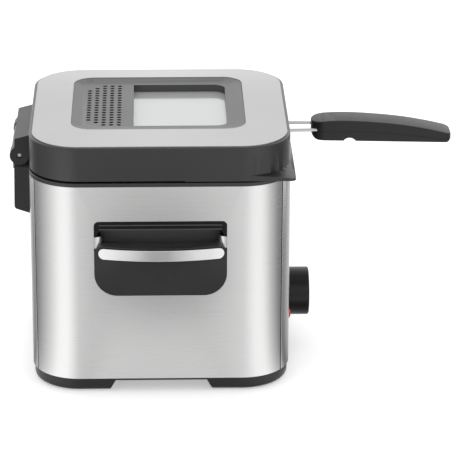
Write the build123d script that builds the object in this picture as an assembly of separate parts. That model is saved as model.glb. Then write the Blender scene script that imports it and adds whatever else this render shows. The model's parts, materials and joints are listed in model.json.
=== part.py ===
from build123d import *
import os

# A compact deep fryer: a brushed steel box on a black base, a hinged lid with a window and a
# filter, a lift-out basket on a long handle, and one temperature knob.
#
# Axes: +X is the front (knob and basket handle), -X is the rear (hinge), +Z is up. "right" is
# the -Y side and "left" is the +Y side. Everything is drawn about the middle of the body, and
# each node is moved by ORIGIN_X on export, so that the origin is the bottom centre of the
# whole object. All sizes are in millimetres.

# ---- driving dimensions -------------------------------------------------------------------
BODY_L = 214.0
BODY_W = 206.0
CORNER_R = 40.0
SHEET = 0.8
GAP = 0.3
FRONT_SEAM_ANGLE = 58.0
REAR_SEAM_ANGLE = 66.0

TRAY_Z = 9.7
SHELL_Z0 = 11.8
SHELL_Z1 = 180.4
RIM_Z = 183.7
LID_Z0 = 185.4
LID_Z1 = 213.2

LID_L = 213.0
LID_W = 206.0
LID_R = 41.0
LID_WALL = 2.4
DECK = 2.2
PLATE_INSET = 2.6
PLATE_EDGE_Z = 214.2
CROWN_Z = 217.6
LIP_X = 109.5
LIP_HALF_Y = 102.6
LIP_Z0 = 184.6
NOTCH_HALF_Y = 14.0
NOTCH_Z = 200.0
BOSS_X = 92.0
BOSS_Y = 70.0

POT_L = 172.0
POT_W = 158.0
POT_R = 30.0
POT_WALL = 1.2
POT_Z0 = 72.0
POT_Z1 = 184.9
POT_FLANGE = 8.0
POT_EDGE_R = 14.0
ELEMENT_R = 3.3
ELEMENT_Z = POT_Z0 - ELEMENT_R - 0.1
ELEMENT_X = 64.0
ELEMENT_Y = 50.0
TERMINAL_Y = 8.0

WELL_X0 = -72.5
WELL_X1 = 70.5
WELL_HALF_Y = 68.0
WELL_R = 17.0
WELL_FLOOR_Z = 215.4
WINDOW_X0 = -21.5
WINDOW_X1 = 56.0
WINDOW_HALF_Y = 53.5
WINDOW_R = 10.0
PANE_Z1 = 209.2
PANE_T = 2.0
LINER_Z = 203.0
LINER_T = 1.2
FILTER_X0 = -65.0
FILTER_X1 = -28.5
FILTER_HALF_Y = 57.0
FILTER_WALL = 1.4
FILTER_H = 8.6

HOLE_R = 1.9
HOLE_PITCH = 6.3
HOLE_X0 = -58.5
HOLE_COUNTS = (13, 15, 17, 17, 17)

HINGE_X = -115.8
HINGE_Z = 185.5
HINGE_R = 8.0
HINGE_HALF_Y = 40.0
ARM_SCREW_Y = 20.0
ARM_SCREW_Z = 198.0
ARM_X = -119.6
KNUCKLE_HALF_Y = 27.5
PIN_R = 1.5
RUN_FIT = 0.05

BRACKET_Z0 = 134.3
BRACKET_Z1 = 175.6
BRACKET_X = -121.0

GRIP_HALF = 54.0
GRIP_Z0 = 85.9
GRIP_Z1 = 150.8
GRIP_LOW_R = 19.0
GRIP_TOP_R = 4.0
POCKET_Y = 85.0
POCKET_WALL = 1.8
HOOD_Z = 143.4
HOOD_STEP_Z = 147.3
PLATE_TOP_Z = 130.6
BAR_Z = 123.6
BAR_H = 9.5
BAR_L = 102.6
BOW = 8.0
BOW_Z = 118.0
PLATE_WALL = 3.4
HANDLE_SCREW_X = 36.0
HANDLE_SCREW_Z = 100.0

KNOB_Z = 46.7
KNOB_R = 20.5
KNOB_X0 = 108.5
KNOB_X1 = 127.0
SHAFT_R = 3.0
LAMP_Y = -26.0
LAMP_Z = 37.0
LAMP_R = 5.2

BASKET_L = 140.0
BASKET_W = 126.0
BASKET_R = 22.0
BASKET_Z0 = 77.0
BASKET_Z1 = 160.0
BASKET_WALL = 1.2
WIRE_R = 1.4
WIRE_Z = 195.7
WIRE_Y = 9.9
WIRE_DROP_X = BASKET_L / 2 + 3 * WIRE_R + 0.2
GRIP_ROOT_X = 127.0
GRIP_TIP_X = 244.0
GRIP_W = 25.0
PARTING = ((117.0, 194.6), (127.0, 194.7), (165.0, 194.9), (195.0, 193.0), (225.0, 189.4),
           (254.0, 186.0))
GRIP_SCREW_X = (172.0, 226.0)
GRIP_SCREW_DEPTH = 2.2

GLAND_Y = 40.0
GLAND_Z = 25.0
GLAND_R = 3.7

FOOT_INSET = 1.2
FOOT_EDGE_R = 4.0
PAD_H = 0.6
PAD_X = 62.0
PAD_Y = 84.0
PAD_R = 7.0
PAD_T = 2.0
TRAY_WALL = 2.4
SIDE_ARCH = (37.7, 43.7)
END_ARCH = (36.0, 42.0)
SCREW_R = 1.5
POST_X = 72.0
POST_Y = 52.0
POST_R = 5.0
SHIELD_Z = 60.0

ORIGIN_X = ((HINGE_X - HINGE_R) + GRIP_TIP_X) / 2


# ---- small helpers ------------------------------------------------------------------------
def block(x0, x1, y0, y1, z0, z1):
    centre = Pos((x0 + x1) / 2, (y0 + y1) / 2, (z0 + z1) / 2)
    return centre * Box(x1 - x0, y1 - y0, z1 - z0)


def rod(radius, start, end):
    axis = Vector(*end) - Vector(*start)
    return extrude(Plane(origin=start, z_dir=axis) * Circle(radius), axis.length)


def plan(length, width, radius, z, x=0.0):
    return Plane.XY.offset(z) * Pos(x, 0) * RectangleRounded(length, width, radius)


def prism(length, width, radius, z0, z1, x=0.0):
    return extrude(plan(length, width, radius, z0, x), z1 - z0)


def body_prism(inset, z0, z1):
    return prism(BODY_L - 2 * inset, BODY_W - 2 * inset, CORNER_R - inset, z0, z1)


def lid_plan(inset, z):
    return plan(LID_L - 2 * inset, LID_W - 2 * inset, LID_R - inset, z)


def lid_prism(inset, z0, z1):
    return extrude(lid_plan(inset, z0), z1 - z0)


def well_plan(inset, z):
    length = WELL_X1 - WELL_X0 - 2 * inset
    centre = (WELL_X0 + WELL_X1) / 2
    return plan(length, 2 * (WELL_HALF_Y - inset), WELL_R - inset, z, centre)


def well_prism(inset, z0, z1):
    return extrude(well_plan(inset, z0), z1 - z0)


def along_y(sketch, y0, y1):
    return Pos(0, y1, 0) * extrude(sketch, y1 - y0)


def tube(points, radius, bend):
    path = FilletPolyline(*points, radius=bend)
    return sweep(Plane(origin=path @ 0, z_dir=path % 0) * Circle(radius), path=path)


def ring_tube(length, width, corner, z, radius):
    path = plan(length, width, corner, z).face().outer_wire()
    return sweep(Plane(origin=path @ 0, z_dir=path % 0) * Circle(radius), path=path)


def screw(head_end, direction, head_r, head_h, shank_r, length):
    start = Vector(*head_end)
    step = Vector(*direction)
    neck = start + step * head_h
    tip = neck + step * length
    return rod(head_r, start, neck) + rod(shank_r, neck, tip)


def corners(x, y):
    return [(sx * x, sy * y) for sx in (-1, 1) for sy in (-1, 1)]


def left_of(right_piece):
    return mirror(right_piece, Plane.XZ)


# ---- outer shell --------------------------------------------------------------------------
def seam_slits():
    slits = []
    for sx, sy in corners(1, 1):
        cx = sx * (BODY_L / 2 - CORNER_R)
        cy = sy * (BODY_W / 2 - CORNER_R)
        turn = 90 - (FRONT_SEAM_ANGLE if sx > 0 else REAR_SEAM_ANGLE)
        slit = Box(12, GAP, SHELL_Z1 - SHELL_Z0 + 2)
        slit = Rot(0, 0, turn) * Pos(CORNER_R, 0, 0) * slit
        if sx < 0:
            slit = mirror(slit, Plane.YZ)
        if sy < 0:
            slit = mirror(slit, Plane.XZ)
        slits.append(Pos(cx, cy, (SHELL_Z0 + SHELL_Z1) / 2) * slit)
    return slits


def shell_panels():
    ring = body_prism(0, SHELL_Z0, SHELL_Z1) - body_prism(SHEET, SHELL_Z0 - 1, SHELL_Z1 + 1)
    for slit in seam_slits():
        ring = ring - slit
    by_x = ring.solids().sort_by(Axis.X)
    by_y = ring.solids().sort_by(Axis.Y)
    return {"rear": by_x[0], "front": by_x[-1], "right": by_y[0], "left": by_y[-1]}


def side_outline(grow=0.0):
    height = GRIP_Z1 - GRIP_Z0 + 2 * grow
    sketch = Rectangle(2 * (GRIP_HALF + grow), height)
    sketch = fillet(sketch.vertices().group_by(Axis.Y)[0], GRIP_LOW_R + grow)
    sketch = fillet(sketch.vertices().group_by(Axis.Y)[-1], GRIP_TOP_R + grow)
    return Plane.XZ * Pos(0, (GRIP_Z0 + GRIP_Z1) / 2) * sketch


def side_panel(panel):
    return panel - along_y(side_outline(), -BODY_W / 2 - 1, -POCKET_Y)


def front_panel(panel):
    face = BODY_L / 2
    panel = panel - rod(5.3, (face - 5, 0, KNOB_Z), (face + 5, 0, KNOB_Z))
    return panel - rod(4.7, (face - 5, LAMP_Y, LAMP_Z), (face + 5, LAMP_Y, LAMP_Z))


def rear_panel(panel):
    face = -BODY_L / 2
    panel = panel - rod(6.2, (face - 5, GLAND_Y, GLAND_Z), (face + 5, GLAND_Y, GLAND_Z))
    for y, z in hinge_screw_places():
        panel = panel - rod(PIN_R, (face - 5, y, z), (face + 5, y, z))
    return panel


# ---- base ---------------------------------------------------------------------------------
def foot_solid(inset, z0, z1, edge):
    solid = body_prism(inset, z0, z1)
    return fillet(solid.faces().sort_by(Axis.Z)[0].edges(), edge)


def arch(half_top, half_bottom, z_top, across):
    points = [(-half_bottom, -1), (half_bottom, -1), (half_top, z_top), (-half_top, z_top)]
    sketch = make_face(Polyline(*points, close=True))
    if across == "Y":
        return along_y(Plane.XZ * sketch, -BODY_W, BODY_W)
    return Pos(-BODY_L, 0, 0) * extrude(Plane.YZ * sketch, 2 * BODY_L)


def base_tray():
    tray = foot_solid(FOOT_INSET, PAD_H, SHELL_Z0, FOOT_EDGE_R)
    inner = foot_solid(FOOT_INSET + TRAY_WALL, PAD_H + TRAY_WALL, 14.0, 2.0)
    for half_widths, across in ((SIDE_ARCH, "Y"), (END_ARCH, "X")):
        tray = tray - arch(*half_widths, TRAY_Z, across)
        grown = [half + TRAY_WALL for half in half_widths]
        inner = inner - arch(*grown, TRAY_Z + TRAY_WALL, across)
    tray = tray - inner
    upstand = body_prism(SHEET + 0.1, SHELL_Z0, 22.0) - body_prism(SHEET + 2.1, SHELL_Z0 - 1, 23.0)
    tray = tray + upstand
    for x, y in corners(POST_X, POST_Y):
        tray = tray + rod(POST_R, (x, y, PAD_H + 1), (x, y, SHIELD_Z))
        tray = tray - rod(3.6, (x, y, -1), (x, y, 8.0))
        tray = tray - rod(SCREW_R, (x, y, 7.0), (x, y, 24.0))
        tray = tray - rod(SCREW_R, (x, y, SHIELD_Z - 10), (x, y, SHIELD_Z + 1))
    for x, y in corners(PAD_X, PAD_Y):
        tray = tray - rod(PAD_R, (x, y, -1), (x, y, PAD_T))
    for row in range(-3, 4):
        tray = tray - block(-22, 22, row * 8 - 1.5, row * 8 + 1.5, TRAY_Z - 1, SHELL_Z0 + 1)
    return tray - rod(6.6, (-BODY_L / 2, GLAND_Y, GLAND_Z), (-90, GLAND_Y, GLAND_Z))


def foot_pads():
    return [rod(PAD_R, (x, y, 0), (x, y, PAD_T)) for x, y in corners(PAD_X, PAD_Y)]


def base_screws():
    places = corners(POST_X, POST_Y)
    return [screw((x, y, 6.2), (0, 0, 1), 3.2, 1.8, SCREW_R, 14.0) for x, y in places]


def upper_rim():
    rim = body_prism(0, SHELL_Z1, RIM_Z)
    rim = fillet(rim.faces().sort_by(Axis.Z)[-1].edges(), 0.8)
    skirt = body_prism(SHEET + 0.1, 172.0, SHELL_Z1) - body_prism(SHEET + 2.1, 171.0, 181.0)
    mouth = prism(POT_L + 1.2, POT_W + 1.2, POT_R + 0.6, 170.0, 190.0)
    return (rim + skirt) - mouth


# ---- oil pot and heating ------------------------------------------------------------------
def oil_pot():
    outer = prism(POT_L, POT_W, POT_R, POT_Z0, POT_Z1)
    outer = fillet(outer.faces().sort_by(Axis.Z)[0].edges(), POT_EDGE_R)
    flange = prism(POT_L + 2 * POT_FLANGE, POT_W + 2 * POT_FLANGE, POT_R + POT_FLANGE, RIM_Z, POT_Z1)
    side = 2 * POT_WALL
    inner = prism(POT_L - side, POT_W - side, POT_R - POT_WALL, POT_Z0 + POT_WALL, POT_Z1 + 5)
    inner = fillet(inner.faces().sort_by(Axis.Z)[0].edges(), POT_EDGE_R - POT_WALL)
    return (outer + flange) - inner


def heating_element():
    rear, front, half, z = -ELEMENT_X, ELEMENT_X - 4.0, ELEMENT_Y, ELEMENT_Z
    route = [(rear, -TERMINAL_Y, z), (rear, -half, z), (front, -half, z), (front, half, z),
             (rear, half, z), (rear, TERMINAL_Y, z)]
    element = tube(route, ELEMENT_R, 20.0)
    for y in (1.0 - TERMINAL_Y, TERMINAL_Y - 1.0):
        element = element + rod(2.0, (rear, y, z), (rear, y, SHIELD_Z - 8))
    return element


def heat_shield():
    pan = prism(176, 162, 32, SHIELD_Z, SHIELD_Z + 6)
    pan = pan - prism(174, 160, 31, SHIELD_Z + 1, SHIELD_Z + 7)
    pan = pan - block(-69, -59, -13, 13, SHIELD_Z - 1, SHIELD_Z + 2)
    pan = pan - rod(3.0, (40, 20, SHIELD_Z - 1), (40, 20, SHIELD_Z + 2))
    for x, y in corners(POST_X, POST_Y):
        pan = pan - rod(SCREW_R, (x, y, SHIELD_Z - 1), (x, y, SHIELD_Z + 2))
    return pan


def shield_screws():
    top = SHIELD_Z + 2.6
    places = corners(POST_X, POST_Y)
    return [screw((x, y, top), (0, 0, -1), 3.0, 1.6, SCREW_R, 8.0) for x, y in places]


def thermostat():
    case = block(84, 100, -17, 17, KNOB_Z - 12, KNOB_Z + 12)
    case = fillet(case.edges().filter_by(Axis.X), 2.0)
    plate = block(100, 101.2, -21, 21, KNOB_Z - 9, KNOB_Z + 9)
    neck = rod(4.9, (101, 0, KNOB_Z), (107.6, 0, KNOB_Z))
    case = case + plate + neck
    return case - rod(SHAFT_R + RUN_FIT, (90, 0, KNOB_Z), (110, 0, KNOB_Z))


def thermostat_bulb():
    z = POT_Z0 - 2.7
    bulb = rod(2.5, (10, -30, z), (10, 20, z))
    line = tube([(10, 19, z), (10, 20.5, z), (40, 20, z), (40, 20, 46), (83.8, 12, 46)], 0.8, 0.9)
    return bulb + line


def thermal_cutout():
    can = rod(8.0, (-30, 0, POT_Z0 - 7), (-30, 0, POT_Z0 - 0.1))
    tabs = block(-42, -18, -3, 3, POT_Z0 - 5.5, POT_Z0 - 4.7)
    return can + tabs


def terminal_block():
    base = block(-88, -74, 8, 38, 12.3, 26)
    for y in (13, 23, 33):
        base = base - rod(2.2, (-81, y, 18), (-81, y, 30))
    return base


def cord_gland():
    face = -BODY_L / 2
    flange = rod(9.0, (face, GLAND_Y, GLAND_Z), (face - 2.4, GLAND_Y, GLAND_Z))
    nose = rod(6.4, (face - 2, GLAND_Y, GLAND_Z), (face - 4.8, GLAND_Y, GLAND_Z))
    neck = rod(6.1, (face, GLAND_Y, GLAND_Z), (face + 9, GLAND_Y, GLAND_Z))
    body = flange + nose + neck
    return body - rod(GLAND_R, (face - 6, GLAND_Y, GLAND_Z), (face + 10, GLAND_Y, GLAND_Z))


# ---- side carry handles (drawn on the right side) -------------------------------------------
def side_pocket():
    face = -BODY_W / 2
    back = -POCKET_Y
    cup = along_y(side_outline(POCKET_WALL), face + SHEET + 0.1, back + POCKET_WALL)
    lip = along_y(side_outline(4.0), face + SHEET + 0.1, face + SHEET + 1.7)
    pocket = cup + lip - along_y(side_outline(-0.1), face - 1, back)
    hood = along_y(side_outline(-0.1), face + 0.6, face + 5.0) & hood_band(HOOD_Z, 6.0)
    step = along_y(side_outline(-0.1), face - 0.2, face + 4.0) & hood_band(HOOD_STEP_Z, 5.0)
    pocket = pocket + hood + step
    for x in (-HANDLE_SCREW_X, HANDLE_SCREW_X):
        z = HANDLE_SCREW_Z
        pocket = pocket - rod(SCREW_R, (x, back - 1, z), (x, back + 4, z))
    return pocket


def hood_band(z, end_r):
    half = GRIP_HALF - 2.6
    opening = Pos(0, (z + 60) / 2) * Rectangle(2 * half, z - 60)
    opening = fillet(opening.vertices().group_by(Axis.Y)[-1], end_r)
    keep = Pos(0, z + 3) * Rectangle(2 * GRIP_HALF + 8, 18) - opening
    return along_y(Plane.XZ * keep, -BODY_W / 2 - 4, -BODY_W / 2 + 12)


def bow_section(z, bow, front, back):
    half = GRIP_HALF + 1
    arc = ThreePointArc((-half, -front), (0, -front - bow), (half, -front))
    edge = Polyline((half, -front), (half, -back), (-half, -back), (-half, -front))
    return Plane.XY.offset(z) * make_face(arc + edge)


def bowed_solid(front, back):
    low = bow_section(GRIP_Z0 - 1, 0.3, front, back)
    high = bow_section(BOW_Z, BOW, front, back)
    return loft([low, high], ruled=True) + extrude(high, PLATE_TOP_Z - BOW_Z + 3)


def plate_outline(grow=0.0):
    height = PLATE_TOP_Z - GRIP_Z0 + 2 * grow
    sketch = Rectangle(2 * (GRIP_HALF + grow), height)
    sketch = fillet(sketch.vertices().group_by(Axis.Y)[0], GRIP_LOW_R + grow)
    sketch = fillet(sketch.vertices().group_by(Axis.Y)[-1], 8.0 + grow)
    return Plane.XZ * Pos(0, (GRIP_Z0 + PLATE_TOP_Z) / 2) * sketch


def bar_outline(grow=0.0):
    return Plane.XZ * Pos(0.6, BAR_Z) * SlotOverall(BAR_L + 2 * grow, BAR_H + 2 * grow)


def side_plate():
    face = BODY_W / 2
    plate = bowed_solid(face, face - 5.5) & along_y(plate_outline(-0.35), -face - 12, -90)
    hollow = bowed_solid(face - PLATE_WALL, face - 9) & along_y(plate_outline(-4.5), -face - 12, -90)
    plate = plate - hollow - along_y(bar_outline(0.5), -face - 12, -face + 1.7)
    plate = plate + (bar_floor() & along_y(plate_outline(-0.35), -face - 12, -90))
    for x in (-HANDLE_SCREW_X, HANDLE_SCREW_X):
        z = HANDLE_SCREW_Z
        plate = plate + rod(4.0, (x, -face - 1.0, z), (x, -POCKET_Y, z))
        plate = plate - rod(SCREW_R, (x, -face + 5.0, z), (x, -POCKET_Y + 1, z))
    return plate


def bar_floor():
    face = BODY_W / 2
    skin = bowed_solid(face - 1.6, face - 9) - bowed_solid(face - PLATE_WALL, face - 10)
    return skin & along_y(bar_outline(1.5), -face - 12, -90)


def side_bar():
    face = BODY_W / 2
    skin = bowed_solid(face + 0.6, face - 9) - bowed_solid(face - 1.6, face - 10)
    return skin & along_y(bar_outline(), -face - 14, -face + 1.2)


def side_handle_screws():
    head = 1.6
    back = -POCKET_Y + POCKET_WALL + head
    places = [(x, back, HANDLE_SCREW_Z) for x in (-HANDLE_SCREW_X, HANDLE_SCREW_X)]
    return [screw(place, (0, -1, 0), 2.8, head, SCREW_R, 8.0) for place in places]


# ---- rear hinge -----------------------------------------------------------------------------
def hinge_screw_places():
    return [(y, z) for y in (-30, 30) for z in (146, 166)]


def hinge_bracket():
    face = -BODY_L / 2
    points = [(face, BRACKET_Z1), (BRACKET_X + 0.6, BRACKET_Z1), (BRACKET_X, 139.0),
              (face, BRACKET_Z0)]
    profile = make_face(Polyline(*points, close=True))
    profile = fillet(profile.vertices().sort_by(Axis.X)[0], 3.5)
    cover = along_y(Plane.XZ * profile, -HINGE_HALF_Y, HINGE_HALF_Y)
    neck = block(HINGE_X - 6.0, HINGE_X + 7.2, -KNUCKLE_HALF_Y, KNUCKLE_HALF_Y, 170, HINGE_Z)
    knuckle = rod(7.2, (HINGE_X, -KNUCKLE_HALF_Y, HINGE_Z), (HINGE_X, KNUCKLE_HALF_Y, HINGE_Z))
    cover = cover - block(BRACKET_X + 2.8, face + 1, -37, 37, 141, BRACKET_Z1 - 3)
    for y, z in hinge_screw_places():
        cover = cover + rod(4.0, (face, y, z), (BRACKET_X + 2, y, z))
    bracket = cover + neck + knuckle
    bracket = bracket - rod(PIN_R, (HINGE_X, -50, HINGE_Z), (HINGE_X, 50, HINGE_Z))
    for y, z in hinge_screw_places():
        bracket = bracket - rod(PIN_R, (face - 9, y, z), (face + 1, y, z))
    return bracket


def hinge_pin():
    half = HINGE_HALF_Y - 1.2
    return rod(PIN_R, (HINGE_X, -half, HINGE_Z), (HINGE_X, half, HINGE_Z))


def hinge_screws():
    inside = -BODY_L / 2 + SHEET
    places = hinge_screw_places()
    return [screw((inside + 1.6, y, z), (-1, 0, 0), 3.0, 1.6, PIN_R, 8.0) for y, z in places]


def lid_hinge_arm():
    lid_face = -LID_L / 2
    bridge_z = HINGE_Z + 8.9
    top = [(lid_face, bridge_z), (lid_face, 203.5), (ARM_X, 200.0), (ARM_X, bridge_z)]
    bridge = along_y(Plane.XZ * make_face(Polyline(*top, close=True)), -HINGE_HALF_Y, HINGE_HALF_Y)
    ear = [(lid_face - 1.0, HINGE_Z + 1), (lid_face, HINGE_Z + 4), (lid_face, bridge_z + 1),
           (ARM_X, bridge_z + 1), (ARM_X - 0.6, HINGE_Z), (ARM_X - 0.6, 178.6), (-111.4, 178.6),
           (-111.4, HINGE_Z)]
    profile = make_face(Polyline(*ear, close=True))
    arm = bridge
    for side in (-1, 1):
        y0, y1 = sorted((side * (KNUCKLE_HALF_Y + 0.5), side * HINGE_HALF_Y))
        arm = arm + along_y(Plane.XZ * profile, y0, y1)
        arm = arm + rod(HINGE_R, (HINGE_X, y0, HINGE_Z), (HINGE_X, y1, HINGE_Z))
    arm = arm - rod(PIN_R + RUN_FIT, (HINGE_X, -50, HINGE_Z), (HINGE_X, 50, HINGE_Z))
    for y in (-HINGE_HALF_Y, HINGE_HALF_Y):
        arm = arm - rod(2.6, (HINGE_X, y - 1.2, HINGE_Z), (HINGE_X, y + 1.2, HINGE_Z))
    for y in (-ARM_SCREW_Y, ARM_SCREW_Y):
        arm = arm - rod(SCREW_R, (lid_face - 9, y, ARM_SCREW_Z), (lid_face + 1, y, ARM_SCREW_Z))
    return arm


def lid_arm_screws():
    head = 1.6
    inside = -LID_L / 2 + LID_WALL + head
    places = [(inside, y, ARM_SCREW_Z) for y in (-ARM_SCREW_Y, ARM_SCREW_Y)]
    return [screw(place, (-1, 0, 0), 3.0, head, SCREW_R, 9.0) for place in places]


# ---- lid --------------------------------------------------------------------------------------
def lip_plan(reach, radius, z):
    x0 = 20.0
    length = reach - x0
    sketch = Rectangle(length, 2 * LIP_HALF_Y)
    sketch = fillet(sketch.vertices().group_by(Axis.X)[-1], radius)
    return Plane.XY.offset(z) * Pos((x0 + reach) / 2, 0) * sketch


def front_lip():
    lip = extrude(lip_plan(LIP_X, 4.0, LIP_Z0), 2.0)
    flare = loft([lip_plan(LIP_X, 4.0, LIP_Z0 + 2.0), lip_plan(LID_L / 2 - 0.2, 40.0, 189.6)],
                 ruled=True)
    return lip + flare


def lid_skirt():
    skirt = lid_prism(0, LID_Z0, LID_Z1)
    skirt = fillet(skirt.faces().sort_by(Axis.Z)[-1].edges(), 1.0)
    skirt = skirt + front_lip()
    skirt = skirt - lid_prism(LID_WALL, LIP_Z0 - 1, LID_Z1 - DECK)
    skirt = skirt - well_prism(-0.3, LID_Z1 - 5, LID_Z1 + 1)
    for x, y in corners(BOSS_X, BOSS_Y):
        skirt = skirt + rod(4.0, (x, y, LINER_Z), (x, y, LID_Z1 - DECK))
        skirt = skirt - rod(SCREW_R, (x, y, LINER_Z - 1), (x, y, LINER_Z + 7))
    skirt = skirt - block(95, 115, -NOTCH_HALF_Y, NOTCH_HALF_Y, LIP_Z0 - 1, NOTCH_Z)
    face = -LID_L / 2
    for y in (-ARM_SCREW_Y, ARM_SCREW_Y):
        skirt = skirt - rod(SCREW_R, (face - 1, y, ARM_SCREW_Z), (face + 4, y, ARM_SCREW_Z))
    return skirt


def lid_top_plate():
    edge = lid_plan(PLATE_INSET, LID_Z1 + 0.05)
    shoulder = lid_plan(PLATE_INSET, PLATE_EDGE_Z)
    crown = well_plan(0, CROWN_Z)
    plate = extrude(edge, PLATE_EDGE_Z - LID_Z1 - 0.05) + loft([shoulder, crown], ruled=True)
    inner = loft([lid_plan(PLATE_INSET + 0.9, PLATE_EDGE_Z - 0.7), well_plan(0, CROWN_Z - 0.9)],
                 ruled=True)
    inner = inner + extrude(lid_plan(PLATE_INSET + 0.9, LID_Z1), PLATE_EDGE_Z - 0.7 - LID_Z1)
    return plate - inner - well_prism(0, LID_Z1, CROWN_Z + 1)


def filter_holes():
    holes = []
    for column, count in enumerate(HOLE_COUNTS):
        for row in range(count):
            y = (row - (count - 1) / 2) * HOLE_PITCH
            holes.append((HOLE_X0 + column * HOLE_PITCH, y))
    return holes


def window_prism(grow, z0, z1):
    centre = (WINDOW_X0 + WINDOW_X1) / 2
    sketch = Rectangle(WINDOW_X1 - WINDOW_X0 + 2 * grow, 2 * (WINDOW_HALF_Y + grow))
    sketch = fillet(sketch.vertices().group_by(Axis.X)[-1], WINDOW_R + grow)
    return extrude(Plane.XY.offset(z0) * Pos(centre, 0) * sketch, z1 - z0)


def lid_well_panel():
    panel = well_prism(0.15, LID_Z1 - DECK - 1, CROWN_Z - 0.4)
    panel = panel + well_prism(-4.0, LID_Z1 - DECK - 1.8, LID_Z1 - DECK - 0.05)
    floor = plan(122.5, 2 * (WELL_HALF_Y - 8), WELL_R - 8, WELL_FLOOR_Z, -3.25)
    dish = loft([floor, well_plan(0.9, CROWN_Z - 0.39)], ruled=True)
    panel = panel - dish - well_prism(2.4, LID_Z1 - 6, WELL_FLOOR_Z - 2.0)
    panel = panel - window_prism(0, LID_Z1 - 6, CROWN_Z + 1)
    collar = window_prism(1.6, PANE_Z1 + 0.05, WELL_FLOOR_Z - 1) - window_prism(0, 200, 220)
    panel = panel + collar
    holes = [Pos(x, y, WELL_FLOOR_Z - 2) * Cylinder(HOLE_R, 8) for x, y in filter_holes()]
    return panel - holes


def window_pane():
    return window_prism(3.0, PANE_Z1 - PANE_T, PANE_Z1)


def window_gasket():
    return window_prism(4.6, LINER_Z, PANE_Z1 - PANE_T) - window_prism(0.5, LINER_Z - 1, 220)


def filter_block(inset, z0, z1):
    half = FILTER_HALF_Y - inset
    return block(FILTER_X0 + inset, FILTER_X1 - inset, -half, half, z0, z1)


def filter_slots(z0, z1):
    x0 = FILTER_X0 + 3.0
    x1 = FILTER_X1 - 3.0
    return [block(x0, x1, row * 8 - 2.2, row * 8 + 2.2, z0, z1) for row in range(-6, 7)]


def filter_cassette():
    case = filter_block(0, LINER_Z, LINER_Z + FILTER_H)
    case = case - filter_block(FILTER_WALL, LINER_Z + FILTER_WALL, LINER_Z + FILTER_H + 2)
    return case - filter_slots(LINER_Z - 1, LINER_Z + 3)


def filter_mat():
    return filter_block(FILTER_WALL + 0.3, LINER_Z + FILTER_WALL + 0.1, LINER_Z + FILTER_H - 0.6)


def lid_liner():
    liner = lid_prism(LID_WALL + 1.0, LINER_Z - LINER_T, LINER_Z - 0.05)
    liner = liner - window_prism(0, LINER_Z - 3, LINER_Z + 3)
    liner = liner - filter_slots(LINER_Z - 3, LINER_Z + 1)
    for x, y in corners(BOSS_X, BOSS_Y):
        liner = liner - rod(SCREW_R, (x, y, LINER_Z - 3), (x, y, LINER_Z + 1))
    return liner


def lid_screws():
    head = 1.6
    low = LINER_Z - LINER_T - head
    places = corners(BOSS_X, BOSS_Y)
    return [screw((x, y, low), (0, 0, 1), 3.0, head, SCREW_R, 7.0) for x, y in places]


# ---- basket and its handle ------------------------------------------------------------------
def basket_mesh():
    outer = prism(BASKET_L, BASKET_W, BASKET_R, BASKET_Z0, BASKET_Z1)
    outer = fillet(outer.faces().sort_by(Axis.Z)[0].edges(), 8.0)
    side = 2 * BASKET_WALL
    inner = prism(BASKET_L - side, BASKET_W - side, BASKET_R - BASKET_WALL,
                  BASKET_Z0 + BASKET_WALL, BASKET_Z1 + 5)
    inner = fillet(inner.faces().sort_by(Axis.Z)[0].edges(), 8.0 - BASKET_WALL)
    return outer - inner


def basket_rim():
    grow = 2 * WIRE_R + 0.1
    return ring_tube(BASKET_L + grow, BASKET_W + grow, BASKET_R + grow / 2, BASKET_Z1 - WIRE_R, WIRE_R)


def basket_feet():
    feet = []
    for y in (-34, 34):
        z = POT_Z0 + POT_WALL + 0.1 + WIRE_R
        high = BASKET_Z0 - WIRE_R - 0.02
        route = [(-56, y, high), (-50, y, high), (-46, y, z), (46, y, z), (50, y, high), (56, y, high)]
        feet.append(tube(route, WIRE_R * 0.9, 1.8))
    return feet


def basket_bracket():
    x0 = BASKET_L / 2 + 0.05
    return block(x0, WIRE_DROP_X - WIRE_R - 0.05, -16, 16, 134, BASKET_Z1 - 2 * WIRE_R - 0.6)


def wire_route(side):
    return [(152, side * 8.6, WIRE_Z), (GRIP_ROOT_X, side * 9.2, WIRE_Z),
            (BODY_L / 2, side * WIRE_Y, WIRE_Z), (WIRE_DROP_X, side * WIRE_Y, WIRE_Z),
            (WIRE_DROP_X, side * WIRE_Y, 136)]


def handle_wires():
    return [tube(wire_route(side), WIRE_R, 6.0) for side in (-1, 1)]


def grip_solid():
    top = Spline((GRIP_ROOT_X, 202.6), (150, 204.4), (176, 203.3), (200, 200.9), (220, 197.6),
                 (GRIP_TIP_X, 192.0))
    low = Polyline((GRIP_TIP_X, 192.0), (GRIP_TIP_X, 184.9), (GRIP_ROOT_X, 187.6),
                   (GRIP_ROOT_X, 202.6))
    side = make_face(top + low)
    side = fillet(side.vertices().sort_by(Axis.Y)[0], 4.0)
    side = fillet(side.vertices().sort_by(Axis.X)[0:2].sort_by(Axis.Y)[0], 6.0)
    solid = along_y(Plane.XZ * side, -GRIP_W / 2, GRIP_W / 2)
    outline = Rectangle(GRIP_TIP_X - GRIP_ROOT_X, GRIP_W)
    outline = fillet(outline.vertices().group_by(Axis.X)[0], 11.0)
    outline = fillet(outline.vertices().group_by(Axis.X)[-1], 6.0)
    centre = (GRIP_TIP_X + GRIP_ROOT_X) / 2
    solid = solid & extrude(Plane.XY.offset(180) * Pos(centre, 0) * outline, 30)
    solid = fillet(solid.edges().filter_by(lambda e: e.center().Z > 190 and e.length > 20), 1.0)
    return solid - rod(6.3, (158.8, -20, 183.2), (158.8, 20, 183.2))


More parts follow.
